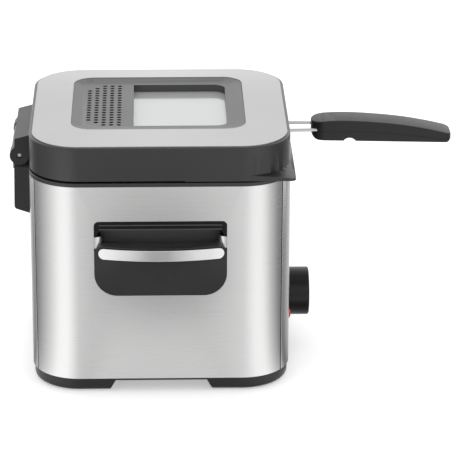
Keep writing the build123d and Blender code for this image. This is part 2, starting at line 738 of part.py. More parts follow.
def parting_half(upper):
    far_z = 230 if upper else 150
    shift = 0.1 if upper else -0.1
    points = [(x, z + shift) for x, z in PARTING]
    x0 = points[0][0]
    x1 = points[-1][0]
    back = Polyline(points[-1], (x1, far_z), (x0, far_z), points[0])
    return along_y(Plane.XZ * make_face(Spline(*points) + back), -30, 30)


def grip_half(upper):
    half = grip_solid() & parting_half(upper)
    for wire in handle_wires():
        half = half - wire
    for x in GRIP_SCREW_X:
        half = half - rod(1.3, (x, 0, 180), (x, 0, parting_z(x) + 4.0))
        half = half - rod(2.8, (x, 0, 180), (x, 0, parting_z(x) - GRIP_SCREW_DEPTH))
    return half


def parting_z(x):
    for (x0, z0), (x1, z1) in zip(PARTING, PARTING[1:]):
        if x0 <= x <= x1:
            return z0 + (x - x0) / (x1 - x0) * (z1 - z0)


def grip_screws():
    head = 1.4
    places = [(x, 0, parting_z(x) - GRIP_SCREW_DEPTH - head) for x in GRIP_SCREW_X]
    return [screw(place, (0, 0, 1), 2.5, head, 1.3, 6.0) for place in places]


# ---- knob and lamp ----------------------------------------------------------------------------
def control_knob():
    knob = rod(KNOB_R, (KNOB_X0, 0, KNOB_Z), (KNOB_X1, 0, KNOB_Z))
    knob = fillet(knob.faces().sort_by(Axis.X)[-1].edges(), 1.6)
    hollow = rod(17.5, (KNOB_X0 - 1, 0, KNOB_Z), (KNOB_X1 - 3, 0, KNOB_Z))
    hub = rod(6.0, (KNOB_X0 + 0.5, 0, KNOB_Z), (KNOB_X1 - 2, 0, KNOB_Z))
    knob = knob - hollow + hub
    knob = knob - rod(SHAFT_R, (KNOB_X0 - 1, 0, KNOB_Z), (KNOB_X1 - 5, 0, KNOB_Z))
    return knob - pointer_slot()


def pointer_slot():
    return block(KNOB_X1 - 0.8, KNOB_X1 + 1, -1.0, 1.0, KNOB_Z + 7, KNOB_Z + 18)


def knob_pointer():
    return block(KNOB_X1 - 0.8, KNOB_X1 - 0.1, -1.0, 1.0, KNOB_Z + 7, KNOB_Z + 18)


def knob_shaft():
    return rod(SHAFT_R, (92, 0, KNOB_Z), (KNOB_X1 - 5, 0, KNOB_Z))


def pilot_lamp():
    face = BODY_L / 2
    lens = rod(LAMP_R, (face, LAMP_Y, LAMP_Z), (face + 3.6, LAMP_Y, LAMP_Z))
    lens = fillet(lens.faces().sort_by(Axis.X)[-1].edges(), 3.2)
    return lens + rod(4.6, (face - 12, LAMP_Y, LAMP_Z), (face, LAMP_Y, LAMP_Z))


# ---- export -----------------------------------------------------------------------------------
def all_nodes():
    panels = shell_panels()
    right_panel = side_panel(panels["right"])
    pocket = side_pocket()
    plate = side_plate()
    bar = side_bar()
    handle_screws = side_handle_screws()
    return {
        "side_panel_right": right_panel,
        "side_panel_left": left_of(right_panel),
        "front_panel": front_panel(panels["front"]),
        "rear_panel": rear_panel(panels["rear"]),
        "upper_rim": upper_rim(),
        "base_tray": base_tray(),
        "foot_pads": foot_pads(),
        "base_screws": base_screws(),
        "oil_pot": oil_pot(),
        "heating_element": heating_element(),
        "heat_shield": heat_shield(),
        "shield_screws": shield_screws(),
        "thermostat": thermostat(),
        "thermostat_bulb": thermostat_bulb(),
        "thermal_cutout": thermal_cutout(),
        "terminal_block": terminal_block(),
        "cord_gland": cord_gland(),
        "side_handle_pocket_right": pocket,
        "side_handle_pocket_left": left_of(pocket),
        "side_handle_plate_right": plate,
        "side_handle_plate_left": left_of(plate),
        "side_handle_bar_right": bar,
        "side_handle_bar_left": left_of(bar),
        "side_handle_screws": handle_screws + [left_of(piece) for piece in handle_screws],
        "hinge_bracket": hinge_bracket(),
        "hinge_pin": hinge_pin(),
        "hinge_screws": hinge_screws(),
        "lid_hinge_arm": lid_hinge_arm(),
        "lid_arm_screws": lid_arm_screws(),
        "lid_skirt": lid_skirt(),
        "lid_top_plate": lid_top_plate(),
        "lid_well_panel": lid_well_panel(),
        "window_pane": window_pane(),
        "window_gasket": window_gasket(),
        "filter_cassette": filter_cassette(),
        "filter_mat": filter_mat(),
        "lid_liner": lid_liner(),
        "lid_screws": lid_screws(),
        "basket_mesh": basket_mesh(),
        "basket_rim": basket_rim(),
        "basket_feet": basket_feet(),
        "basket_bracket": basket_bracket(),
        "handle_wires": handle_wires(),
        "grip_upper": grip_half(True),
        "grip_lower": grip_half(False),
        "grip_screws": grip_screws(),
        "control_knob": control_knob(),
        "knob_pointer": knob_pointer(),
        "knob_shaft": knob_shaft(),
        "pilot_lamp": pilot_lamp(),
    }


os.makedirs("parts", exist_ok=True)
for name, shape in all_nodes().items():
    pieces = shape if isinstance(shape, list) else [shape]
    solids = [Pos(-ORIGIN_X, 0, 0) * solid for piece in pieces for solid in piece.solids()]
    export_step(Compound(children=solids), f"parts/{name}.step")
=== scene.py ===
# %% [markdown]
# # A compact deep fryer
# The fryer is a brushed steel box on a black base. A hinged lid closes it, with a steel plate,
# a window and a filter in it. A wire basket hangs on a long handle that leaves the lid at the
# front, and a knob sets the heat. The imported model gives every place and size. This script
# gives the surfaces their finish, and adds the detail that a functional model leaves out.

# %% Load the frame
import json
import math
import bmesh
import bpy
from mathutils import Matrix, Vector

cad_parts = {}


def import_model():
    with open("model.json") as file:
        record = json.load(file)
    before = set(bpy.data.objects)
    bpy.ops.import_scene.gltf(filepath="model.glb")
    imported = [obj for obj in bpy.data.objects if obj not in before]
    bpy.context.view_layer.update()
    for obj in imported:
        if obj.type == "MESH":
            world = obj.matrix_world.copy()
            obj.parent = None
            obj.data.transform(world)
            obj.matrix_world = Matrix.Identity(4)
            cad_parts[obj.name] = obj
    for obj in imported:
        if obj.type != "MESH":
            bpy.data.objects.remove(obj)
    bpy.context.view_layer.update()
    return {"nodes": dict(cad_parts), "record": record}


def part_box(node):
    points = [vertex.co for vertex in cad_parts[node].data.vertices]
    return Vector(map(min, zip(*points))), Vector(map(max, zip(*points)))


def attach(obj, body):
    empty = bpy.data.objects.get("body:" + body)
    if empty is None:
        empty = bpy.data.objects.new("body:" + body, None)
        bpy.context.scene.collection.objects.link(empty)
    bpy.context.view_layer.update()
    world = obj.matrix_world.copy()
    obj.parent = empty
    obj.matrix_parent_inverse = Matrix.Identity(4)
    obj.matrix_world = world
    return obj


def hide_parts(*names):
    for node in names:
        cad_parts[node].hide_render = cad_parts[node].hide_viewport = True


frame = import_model()

# %% [markdown]
# Most sizes below are in millimetres about the middle of the body, as a maker would give them.
# The frame is in metres, and its origin is under the middle of the whole object, handle and
# all. One helper turns the first into the second, so that no other line has to.

# %% Places in the frame
MM = 0.001
rim_low, rim_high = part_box("upper_rim")
CENTRE_X = (rim_low.x + rim_high.x) / 2
BODY_HALF_X = (rim_high.x - rim_low.x) / 2 / MM
BODY_HALF_Y = (rim_high.y - rim_low.y) / 2 / MM


def at(x, y, z):
    return Vector((CENTRE_X + x * MM, y * MM, z * MM))


print("body", round(2 * BODY_HALF_X, 1), "x", round(2 * BODY_HALF_Y, 1), "mm")

# %% [markdown]
# A material is a small circuit of nodes. Writing each node and each link by hand is slow to
# read, so a finish is written here as a sum: a Signal wraps one socket, and + - and * on it
# add the Math nodes. Every other node comes from one method of the Bench, which takes the
# node's type, its settings and what goes into its sockets.

# %% Shader helpers
class Signal:
    def __init__(self, bench, socket):
        self.bench = bench
        self.socket = socket

    def join(self, operation, first, second):
        settings = {"operation": operation}
        return self.bench.node("ShaderNodeMath", settings, {0: first, 1: second})

    def __add__(self, other):
        return self.join("ADD", self, other)

    def __radd__(self, other):
        return self.join("ADD", other, self)

    def __sub__(self, other):
        return self.join("SUBTRACT", self, other)

    def __rsub__(self, other):
        return self.join("SUBTRACT", other, self)

    def __mul__(self, other):
        return self.join("MULTIPLY", self, other)

    def __rmul__(self, other):
        return self.join("MULTIPLY", other, self)


class Bench:
    def __init__(self, name):
        self.material = bpy.data.materials.new(name)
        self.material.use_nodes = True
        self.tree = self.material.node_tree
        self.shader = self.tree.nodes["Principled BSDF"]

    def feed(self, socket, value):
        if isinstance(value, Signal):
            self.tree.links.new(value.socket, socket)
        else:
            socket.default_value = value

    def node(self, kind, settings=None, sockets=None, out=0):
        made = self.tree.nodes.new(kind)
        for key, value in (settings or {}).items():
            if key == "stops":
                ends = made.color_ramp.elements
                for _ in value[2:]:
                    ends.new(1.0)
                for end, (place, level) in zip(ends, value):
                    end.position = place
                    end.color = (level, level, level, 1)
            else:
                setattr(made, key, value)
        for key, value in (sockets or {}).items():
            self.feed(made.inputs[key], value)
        return Signal(self, made.outputs[out])

    def place(self, scale=(1, 1, 1), shift=(0, 0, 0)):
        spot = self.node("ShaderNodeTexCoord", out=3)
        sockets = {"Vector": spot, "Location": shift, "Scale": scale}
        return self.node("ShaderNodeMapping", {}, sockets)

    def axis(self, place, index):
        return self.node("ShaderNodeSeparateXYZ", {}, {0: place}, out=index)

    def noise(self, scale, stretch=(1, 1, 1), detail=3.0):
        sockets = {"Vector": self.place(stretch), "Scale": scale, "Detail": detail}
        return self.node("ShaderNodeTexNoise", {}, sockets)

    def levels(self, signal, stops):
        return self.node("ShaderNodeValToRGB", {"stops": stops}, {"Fac": signal})

    def colours(self, factor, first, second):
        settings = {"data_type": "RGBA"}
        sockets = {0: factor, 6: (*first, 1), 7: (*second, 1)}
        return self.node("ShaderNodeMix", settings, sockets, out=2)

    def bump(self, height, distance, strength=1.0):
        sockets = {"Height": height, "Distance": distance, "Strength": strength}
        return self.node("ShaderNodeBump", {}, sockets)

    def finish(self, sockets):
        for key, value in sockets.items():
            self.feed(self.shader.inputs[key], value)
        return self.material


def link(name, data):
    made = bpy.data.objects.new(name, data)
    bpy.context.scene.collection.objects.link(made)
    return made


# %% [markdown]
# Brushed stainless steel is the finish that is seen most. The belt leaves thousands of fine
# scratches, all one way, so a highlight smears across them. Noise that is stretched a long
# way along the scratches gives the lines, a second, wider noise gives the faint cloudiness,
# and the shader's own anisotropy gives the smear.

# %% Brushed steel
def brushed_steel(name, stretch, colour=0.60, rough=0.27, turn=0.25):
    bench = Bench(name)
    lines = bench.noise(1.0, stretch, 4.0)
    cloud = bench.noise(9.0, (1, 1, 1), 2.0)
    shade = lines * 0.7 + cloud * 0.3
    light = colour * 1.05
    dark = colour * 0.94
    base = bench.colours(shade, (dark, dark, dark * 0.995), (light, light, light * 0.995))
    return bench.finish({
        "Base Color": base,
        "Metallic": 1.0,
        "Roughness": rough + 0.10 * (lines - 0.5) + 0.04 * cloud,
        "Anisotropic": 0.55,
        "Anisotropic Rotation": turn,
        "Normal": bench.bump(lines, 0.00002, 0.16),
    })


STEEL_SIDE = brushed_steel("brushed_steel_side", (14, 14, 2600), 0.545)
STEEL_TOP = brushed_steel("brushed_steel_top", (16, 2200, 16), 0.40, 0.34, 0.0)
print("steels", STEEL_SIDE.name, STEEL_TOP.name)

# %% [markdown]
# The black mouldings are a satin plastic. A spark-eroded mould leaves a very fine grain, which
# breaks the gloss, and the colour is never quite black. Two noises do it: a fine grain for
# the bump, and a slow drift for the shade and the roughness. The parts differ in how pale
# and how rough they are, so one helper makes them all.

# %% Moulded plastics
def moulded_plastic(name, dark, light, rough, gloss=1.5, sheen=0.0, grain=1800.0, depth=0.00003):
    bench = Bench(name)
    fine = bench.noise(grain, (1, 1, 1), 2.0)
    drift = bench.noise(22.0, (1, 1, 1), 3.0)
    return bench.finish({
        "Base Color": bench.colours(drift, (dark, dark, dark * 1.03), (light, light, light * 1.03)),
        "Roughness": rough + 0.08 * (drift - 0.5) + 0.06 * (fine - 0.5),
        "IOR": gloss,
        "Sheen Weight": sheen,
        "Sheen Roughness": 0.35,
        "Normal": bench.bump(fine, depth, 0.5),
    })


BLACK = moulded_plastic("black_moulding", 0.009, 0.013, 0.30, 1.50, 0.05)
BLACK_WELL = moulded_plastic("black_well", 0.034, 0.046, 0.40, 1.62, 0.20)
BLACK_DARK = moulded_plastic("black_hinge", 0.006, 0.009, 0.42, 1.38, 0.35)
GREY_WALL = moulded_plastic("grey_wall", 0.10, 0.13, 0.60, 1.40)
BLACK_DEEP = moulded_plastic("black_recess", 0.004, 0.006, 0.40, 1.25)
BLACK_GRIP = moulded_plastic("black_grip", 0.006, 0.010, 0.46, 1.38, 0.30, 1400.0, 0.00004)
BLACK_KNOB = moulded_plastic("black_knob", 0.003, 0.005, 0.34, 1.32)
RUBBER = moulded_plastic("black_rubber", 0.016, 0.024, 0.75, 1.45, 0.1, 900.0, 0.00006)
CERAMIC = moulded_plastic("pale_ceramic", 0.62, 0.70, 0.35, 1.55, 0.0, 600.0, 0.00002)
INLAY = moulded_plastic("white_inlay", 0.70, 0.78, 0.40)
print("finishes so far", len(bpy.data.materials))

# %% [markdown]
# The other metals are simpler: bright wire, a satin bar, dull sheet, zinc screws and the dark
# sheath of the heater. Each has its own shade and roughness, and one noise marks them all.

# %% Plain metals
def plain_metal(name, colour, rough, spread=0.10, scale=160.0, depth=0.00002):
    bench = Bench(name)
    marks = bench.noise(scale, (1, 1, 1), 4.0)
    dark = tuple(0.86 * c for c in colour)
    return bench.finish({
        "Base Color": bench.colours(marks, dark, colour),
        "Metallic": 1.0,
        "Roughness": rough + spread * (marks - 0.5),
        "Normal": bench.bump(marks, depth, 0.4),
    })


WIRE = plain_metal("bright_wire", (0.46, 0.46, 0.47), 0.18, 0.08)
BAR = plain_metal("satin_bar", (0.60, 0.60, 0.60), 0.30, 0.06, 90.0, 0.00001)
SHEET_METAL = plain_metal("dull_sheet", (0.66, 0.66, 0.67), 0.40)
ZINC = plain_metal("zinc_screw", (0.58, 0.58, 0.56), 0.34)
ELEMENT = plain_metal("heater_sheath", (0.34, 0.33, 0.31), 0.45)
print("metals", WIRE.name, BAR.name, SHEET_METAL.name, ZINC.name, ELEMENT.name)

# %% [markdown]
# The pot's non-stick coating is a dark grey with fine pale specks. Voronoi cells that are
# cut off near their centres give specks, and the rest stays a soft sheen.

# %% Coatings, glass, lens and filter
def nonstick():
    bench = Bench("nonstick_coating")
    cells = bench.node("ShaderNodeTexVoronoi", {}, {"Vector": bench.place(), "Scale": 900.0})
    speck = 1.0 - bench.levels(cells, [(0.10, 0.0), (0.20, 1.0)])
    grain = bench.noise(1200.0)
    return bench.finish({
        "Base Color": bench.colours(speck, (0.030, 0.030, 0.032), (0.16, 0.16, 0.17)),
        "Roughness": 0.40 + 0.10 * (grain - 0.5),
        "Normal": bench.bump(grain, 0.00003, 0.4),
    })


def window_glass():
    bench = Bench("window_glass")
    # The pane is opaque. Its pale grey is painted: it stands in for the reflection and the view
    # that clear glass gives.
    reflection_drift = bench.noise(14.0, (1, 1, 1), 3.0)
    return bench.finish({
        "Base Color": bench.colours(reflection_drift, (0.45, 0.46, 0.46), (0.49, 0.50, 0.50)),
        "Roughness": 0.16 + 0.06 * reflection_drift,
        "IOR": 1.52,
        "Coat Weight": 0.6 + 0.2 * reflection_drift,
        "Coat Roughness": 0.05,
    })


def red_lens():
    bench = Bench("red_lens")
    ribs = bench.noise(400.0)
    return bench.finish({
        "Base Color": bench.colours(ribs, (0.42, 0.006, 0.010), (0.60, 0.014, 0.018)),
        "Roughness": 0.18 + 0.05 * ribs,
        "Coat Weight": 0.8,
        "Coat Roughness": 0.08,
    })


def filter_fibre():
    bench = Bench("filter_fibre")
    strands = bench.noise(700.0, (1, 1, 1), 6.0)
    return bench.finish({
        "Base Color": bench.colours(strands, (0.02, 0.02, 0.02), (0.10, 0.10, 0.10)),
        "Roughness": 0.85 + 0.1 * strands,
        "Normal": bench.bump(strands, 0.0004, 0.8),
    })


NONSTICK = nonstick()
GLASS = window_glass()
LENS = red_lens()
FIBRE = filter_fibre()
print("materials", len(bpy.data.materials))

# %% [markdown]
# The frame's own meshes are loose triangles with knife edges. No real moulding or pressing
# has those: light always catches a small round. So a copy of a node's mesh is merged, its
# flat faces are joined, and its sharp edges get a bevel of the size the real part has. The
# copy takes the node's place in the picture, and the node stays for the motion.

# %% Soften a node
BODY_OF = {n: b for b, names in frame["record"]["behaviour"]["bodies"].items() for n in names}
MERGE_WITHIN = 0.002
FLAT_WITHIN = math.radians(0.6)
SMOOTH_UNDER = 32.0
BEVEL_OVER = math.radians(34.0)


def make_piece(bm, name, material, body, smooth=SMOOTH_UNDER):
    mesh = bpy.data.meshes.new(name)
    bm.to_mesh(mesh)
    bm.free()
    mesh.materials.append(material)
    mesh.shade_smooth()
    mesh.set_sharp_from_angle(angle=math.radians(smooth))
    piece = link(name, mesh)
    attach(piece, body)
    return piece


def merged_copy(node):
    bm = bmesh.new()
    bm.from_mesh(frame["nodes"][node].data)
    bmesh.ops.remove_doubles(bm, verts=bm.verts, dist=MERGE_WITHIN * MM)
    bmesh.ops.dissolve_limit(bm, angle_limit=FLAT_WITHIN, verts=bm.verts, edges=bm.edges)
    return bm


def soften(node, material, width):
    bm = merged_copy(node)
    piece = make_piece(bm, node + "_shown", material, BODY_OF[node])
    if width:
        bevel = piece.modifiers.new("edge_round", "BEVEL")
        bevel.width = width * MM
        bevel.segments = 2
        bevel.limit_method = "ANGLE"
        bevel.angle_limit = BEVEL_OVER
        bevel.use_clamp_overlap = True
        bevel.harden_normals = True
    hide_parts(node)
    return piece


# %% [markdown]
# The parts inside are hardly seen, so their plain meshes will do. They only need a finish:
# ceramic for the electrical parts, rubber for the feet and the gasket, zinc for the shaft.

# %% Nodes that keep their own mesh
KEPT = {
    SHEET_METAL: ["heat_shield", "lid_liner"],
    ELEMENT: ["heating_element", "hinge_pin"],
    ZINC: ["thermostat_bulb", "knob_shaft", "side_handle_screws"],
    CERAMIC: ["thermostat", "thermal_cutout", "terminal_block"],
    RUBBER: ["foot_pads", "window_gasket"],
    FIBRE: ["filter_mat"],
}
for material, names in KEPT.items():
    for name in names:
        node = frame["nodes"][name]
        if not node.data.materials:
            node.data.materials.append(material)
        for slot in node.material_slots:
            slot.material = material
print("kept", sum(len(names) for names in KEPT.values()), "plain nodes")

# %% [markdown]
# The parts in view are softened. Each line names the node, its finish and the width of the
# round on its edges in millimetres. Folded sheet and drawn wire have their rounds already,
# so they get none.

# %% Nodes shown by a softened copy
SHOWN = [
    ("side_panel_right", STEEL_SIDE, 0), ("side_panel_left", STEEL_SIDE, 0),
    ("front_panel", STEEL_SIDE, 0), ("rear_panel", STEEL_SIDE, 0),
    ("upper_rim", BLACK, 0), ("base_tray", BLACK_DARK, 1.1),
    ("side_handle_pocket_right", BLACK_DEEP, 0.4), ("side_handle_pocket_left", BLACK_DEEP, 0.4),
    ("side_handle_plate_right", BLACK_DARK, 0.4), ("side_handle_plate_left", BLACK_DARK, 0.4),
    ("side_handle_bar_right", BAR, 0.5), ("side_handle_bar_left", BAR, 0.5),
    ("hinge_bracket", BLACK_DARK, 0.4), ("lid_hinge_arm", BLACK_DARK, 0.4),
    ("lid_skirt", BLACK, 0.6), ("lid_top_plate", STEEL_TOP, 0),
    ("lid_well_panel", BLACK_WELL, 0), ("window_pane", GLASS, 0.2),
    ("filter_cassette", BLACK, 0), ("oil_pot", NONSTICK, 0),
    ("basket_rim", WIRE, 0), ("basket_feet", WIRE, 0), ("basket_bracket", WIRE, 0.3),
    ("handle_wires", WIRE, 0), ("grip_upper", BLACK_GRIP, 0.5), ("grip_lower", BLACK_GRIP, 0.5),
    ("control_knob", BLACK_KNOB, 0.4), ("knob_pointer", INLAY, 0.1),
    ("cord_gland", BLACK, 0.4), ("pilot_lamp", LENS, 0.2),
]
for node, material, width in SHOWN:
    soften(node, material, width)
print("softened", len(SHOWN), "nodes")

# %% [markdown]
# The frame's screws are plain discs on a shank. A real head is struck with a cross-shaped
# punch. So the flat end of each head is opened, the outline of a cross is drawn in it, the
# space between the two outlines is filled, and the cross is pushed in with a little taper.

# %% Punch a cross
CROSS_REACH = 0.62
CROSS_HALF_WIDTH = 0.15
CROSS_DEPTH = 0.42
CROSS_TAPER = 0.72


def cross_outline(centre, u, v, reach, half_width):
    a, b = reach, half_width
    places = [(a, -b), (a, b), (b, b), (b, a), (-b, a), (-b, b), (-a, b), (-a, -b), (-b, -b),
              (-b, -a), (b, -a), (b, -b)]
    return [centre + u * x + v * y for x, y in places]


def punch_cross(bm, disc):
    facing = disc.normal.copy()
    centre = disc.calc_center_median()
    radius = max((v.co - centre).length for v in disc.verts)
    u = facing.orthogonal().normalized()
    v = facing.cross(u)
    rim = list(disc.edges)
    bmesh.ops.delete(bm, geom=[disc], context="FACES_ONLY")
    points = cross_outline(centre, u, v, CROSS_REACH * radius, CROSS_HALF_WIDTH * radius)
    cross = [bm.verts.new(p) for p in points]
    loop = [bm.edges.new((a, b)) for a, b in zip(cross, cross[1:] + cross[:1])]
    bmesh.ops.triangle_fill(bm, use_beauty=True, edges=rim + loop, normal=facing)
    floor_face = bm.faces.new(cross)
    pushed = bmesh.ops.extrude_discrete_faces(bm, faces=[floor_face])["faces"][0]
    sink = facing * (-CROSS_DEPTH * radius)
    bottom = pushed.verts[:]
    bmesh.ops.translate(bm, vec=sink, verts=bottom)
    taper = (CROSS_TAPER, CROSS_TAPER, CROSS_TAPER)
    bmesh.ops.scale(bm, vec=taper, verts=bottom, space=Matrix.Translation(-(centre + sink)))


# %% [markdown]
# Every screw of a node faces the same way, so one direction is enough to find the heads: the
# only flat faces that look that way are their outer ends.

# %% Screws with a cross recess
FACING = {
    "base_screws": (0, 0, -1), "lid_screws": (0, 0, -1), "grip_screws": (0, 0, -1),
    "shield_screws": (0, 0, 1), "lid_arm_screws": (1, 0, 0), "hinge_screws": (1, 0, 0),
}


def crossed_screws(node, facing):
    bm = merged_copy(node)
    bmesh.ops.recalc_face_normals(bm, faces=bm.faces)
    discs = [f for f in bm.faces if f.normal.dot(Vector(facing)) > 0.99]
    for disc in discs:
        punch_cross(bm, disc)
    bmesh.ops.recalc_face_normals(bm, faces=bm.faces)
    piece = make_piece(bm, node + "_shown", ZINC, BODY_OF[node])
    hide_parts(node)
    return len(discs)


for node, facing in FACING.items():
    print(node, crossed_screws(node, facing), "heads")

# %% [markdown]
# The basket is woven from thin wire. The side wires run down, bend under and cross the
# bottom; the rings tie them together. First come the paths of these wires, in the corner and
# in the bend, as points about the middle of the body.

# %% Paths of the basket's wires
basket_low, basket_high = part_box("basket_mesh")
BASKET_X = (basket_high.x - basket_low.x) / 2 / MM
BASKET_Y = (basket_high.y - basket_low.y) / 2 / MM
BASKET_TOP = basket_high.z / MM
BASKET_LOW = basket_low.z / MM
BASKET_CORNER = 22.0
BASKET_BEND = 8.0
WIRE_RADIUS = 0.42
WIRE_PITCH = 4.1
CORNER_STEPS = 8
BEND_STEPS = 4


def reach_at(offset, half_long, half_wide, corner):
    past = abs(offset) - (half_wide - corner)
    if past <= 0:
        return half_long
    return half_long - corner + math.sqrt(max(corner * corner - past * past, 0.0))


def hoop(half_x, half_y, corner, z):
    points = []
    for quarter, (sx, sy) in enumerate(((1, 1), (-1, 1), (-1, -1), (1, -1))):
        for step in range(CORNER_STEPS + 1):
            turn = math.radians(90 * quarter + 90 * step / CORNER_STEPS)
            x = sx * (half_x - corner) + corner * math.cos(turn)
            y = sy * (half_y - corner) + corner * math.sin(turn)
            points.append(at(x, y, z))
    return points


def crossing(offset, reach, along_x):
    low = BASKET_LOW + WIRE_RADIUS
    side = [(reach, BASKET_TOP - 1.0)]
    for step in range(BEND_STEPS + 1):
        turn = math.radians(90 * step / BEND_STEPS)
        inward = BASKET_BEND * (1 - math.cos(turn))
        side.append((reach - inward, low + BASKET_BEND * (1 - math.sin(turn))))
    path = side + [(-a, z) for a, z in reversed(side)]
    if along_x:
        return [at(a, offset, z) for a, z in path]
    return [at(offset, a, z) for a, z in path]


print("basket", round(2 * BASKET_X, 1), "x", round(2 * BASKET_Y, 1), "mm")

# %% [markdown]
# Curves suit wire: each wire is a path, and one bevel depth makes all of them round. The
# paths are then turned into one mesh, which takes the place of the plain tub.

# %% The wire basket
def add_path(curve, points, closed):
    spline = curve.splines.new("POLY")
    spline.points.add(len(points) - 1)
    for target, point in zip(spline.points, points):
        target.co = (*point, 1.0)
    spline.use_cyclic_u = closed


def wires_to_mesh(curve):
    carrier = link("wires", curve)
    ready = carrier.evaluated_get(bpy.context.evaluated_depsgraph_get())
    bm = bmesh.new()
    bm.from_mesh(ready.to_mesh())
    ready.to_mesh_clear()
    bpy.data.objects.remove(carrier)
    return bm


def add_crossings(curve, half_long, half_wide, corner, along_x):
    last = half_wide - corner + corner * math.sin(math.radians(45))
    count = int(last / WIRE_PITCH)
    for index in range(-count, count + 1):
        offset = index * WIRE_PITCH
        reach = reach_at(offset, half_long, half_wide, corner)
        add_path(curve, crossing(offset, reach, along_x), False)


def add_hoop(curve, half_x, half_y, corner, inset, z):
    add_path(curve, hoop(half_x - inset, half_y - inset, corner - inset, z), True)


def basket_curve():
    curve = bpy.data.curves.new("basket_wires", "CURVE")
    curve.dimensions = "3D"
    curve.bevel_depth = WIRE_RADIUS * MM
    curve.bevel_resolution = 1
    curve.use_fill_caps = True
    half_x = BASKET_X - WIRE_RADIUS
    half_y = BASKET_Y - WIRE_RADIUS
    corner = BASKET_CORNER - WIRE_RADIUS
    add_crossings(curve, half_x, half_y, corner, True)
    add_crossings(curve, half_y, half_x, corner, False)
    z = BASKET_LOW + BASKET_BEND
    while z < BASKET_TOP - 3.5:
        add_hoop(curve, half_x, half_y, corner, 2 * WIRE_RADIUS, z)
        z += WIRE_PITCH
    in_bend = 0.4 * BASKET_BEND
    add_hoop(curve, half_x, half_y, corner, in_bend, BASKET_LOW + in_bend)
    return curve


basket = wires_to_mesh(basket_curve())
bmesh.ops.recalc_face_normals(basket, faces=basket.faces)
print("basket wires", len(basket.faces), "faces")
basket_piece = make_piece(basket, "basket_wires", WIRE, "basket", 60.0)
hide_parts("basket_mesh")

# %% [markdown]
# Several small pieces come in fours, one for each corner of the body. So one corner's piece
# is made about the origin, and a helper mirrors it, moves it out and adds it to the whole.
# An upright band round a corner is a rectangle spun about the vertical axis.

# %% Bands round the corners
FOUR_CORNERS = ((1, 1), (1, -1), (-1, 1), (-1, -1))


def corner_band(centre_turn, half_turn, inner, outer, z0, z1):
    bm = bmesh.new()
    places = ((inner, z0), (outer, z0), (outer, z1), (inner, z1))
    start = bm.faces.new([bm.verts.new((r, 0, z)) for r, z in places])
    first = Matrix.Rotation(math.radians(90 - centre_turn - half_turn), 3, "Z")
    bmesh.ops.rotate(bm, verts=bm.verts, cent=(0, 0, 0), matrix=first)
    bmesh.ops.spin(bm, geom=[start, *start.edges, *start.verts], cent=(0, 0, 0), axis=(0, 0, 1),
                   steps=6, angle=math.radians(2 * half_turn), dvec=(0, 0, 0), use_duplicate=False)
    return bm


def spread(whole, bm, flip, move):
    bmesh.ops.scale(bm, vec=(flip[0], flip[1], 1), verts=bm.verts)
    bmesh.ops.translate(bm, vec=(move[0], move[1], 0), verts=bm.verts)
    bmesh.ops.scale(bm, vec=(MM, MM, MM), verts=bm.verts)
    bmesh.ops.translate(bm, vec=(CENTRE_X, 0, 0), verts=bm.verts)
    bmesh.ops.recalc_face_normals(bm, faces=bm.faces)
    part = bpy.data.meshes.new("part")
    bm.to_mesh(part)
    bm.free()
    whole.from_mesh(part)
    bpy.data.meshes.remove(part)


def round_edges(whole, width):
    sharp = [e for e in whole.edges if e.calc_face_angle(0) > 1.0]
    bmesh.ops.bevel(whole, geom=sharp, offset=width * MM, affect="EDGES", segments=2,
                    profile=0.5, material=-1, clamp_overlap=True)


# %% [markdown]
# The shell is made of four pressed panels. At each corner their edges are folded over each
# other, and a narrow strip closes the fold. The shade in the fold is painted: a dark band
# lies just proud of the shell on both sides of the strip.
# The rear seams sit a little further round than the front ones.

# %% Seam strips
FRONT_SEAM = 58.0
REAR_SEAM = 66.0
SHELL_CORNER = 40.0
panel_low, panel_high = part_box("front_panel")
SHELL_LOW = panel_low.z / MM
SHELL_HIGH = panel_high.z / MM


def seam_band(name, material, half_turn, rise, trim, round_to):
    whole = bmesh.new()
    for sx, sy in FOUR_CORNERS:
        turn = FRONT_SEAM if sx > 0 else REAR_SEAM
        bm = corner_band(turn, half_turn, SHELL_CORNER - 0.5, SHELL_CORNER + rise,
                         SHELL_LOW + trim, SHELL_HIGH - trim)
        spread(whole, bm, (sx, sy), (sx * (BODY_HALF_X - SHELL_CORNER),
                                     sy * (BODY_HALF_Y - SHELL_CORNER)))
    if round_to:
        round_edges(whole, round_to)
    print(name, len(whole.faces), "faces")
    return make_piece(whole, name, material, "housing")


# The dark bands beside each strip are painted shade for the fold.
seam_band("seam_painted_shade", BLACK_DEEP, 4.9, 0.06, 0.2, 0)
seam_band("seam_strips", STEEL_SIDE, 3.6, 0.45, 0.4, 0.2)

# %% [markdown]
# The scale round the knob is printed on the front panel: one long mark at each end of the
# turn and shorter ones between. The pot has two raised level marks on its back wall.

# %% Scale and level marks
knob_low, knob_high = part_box("control_knob")
KNOB_Z = (knob_low.z + knob_high.z) / 2 / MM
KNOB_RADIUS = (knob_high.z - knob_low.z) / 2 / MM
TURN = 270.0
MARKS = 10
LONG_MARK = 4.0
SHORT_MARK = 2.4
POT_BACK = -84.8
LEVELS = (122.0, 144.0)
STRAIGHT = Matrix.Identity(3)


def add_block(bm, size, turn, centre):
    made = bmesh.ops.create_cube(bm, size=1.0)["verts"]
    bmesh.ops.scale(bm, vec=size, verts=made)
    bmesh.ops.rotate(bm, verts=made, cent=(0, 0, 0), matrix=turn)
    bmesh.ops.scale(bm, vec=(MM, MM, MM), verts=made)
    bmesh.ops.translate(bm, vec=centre, verts=made)


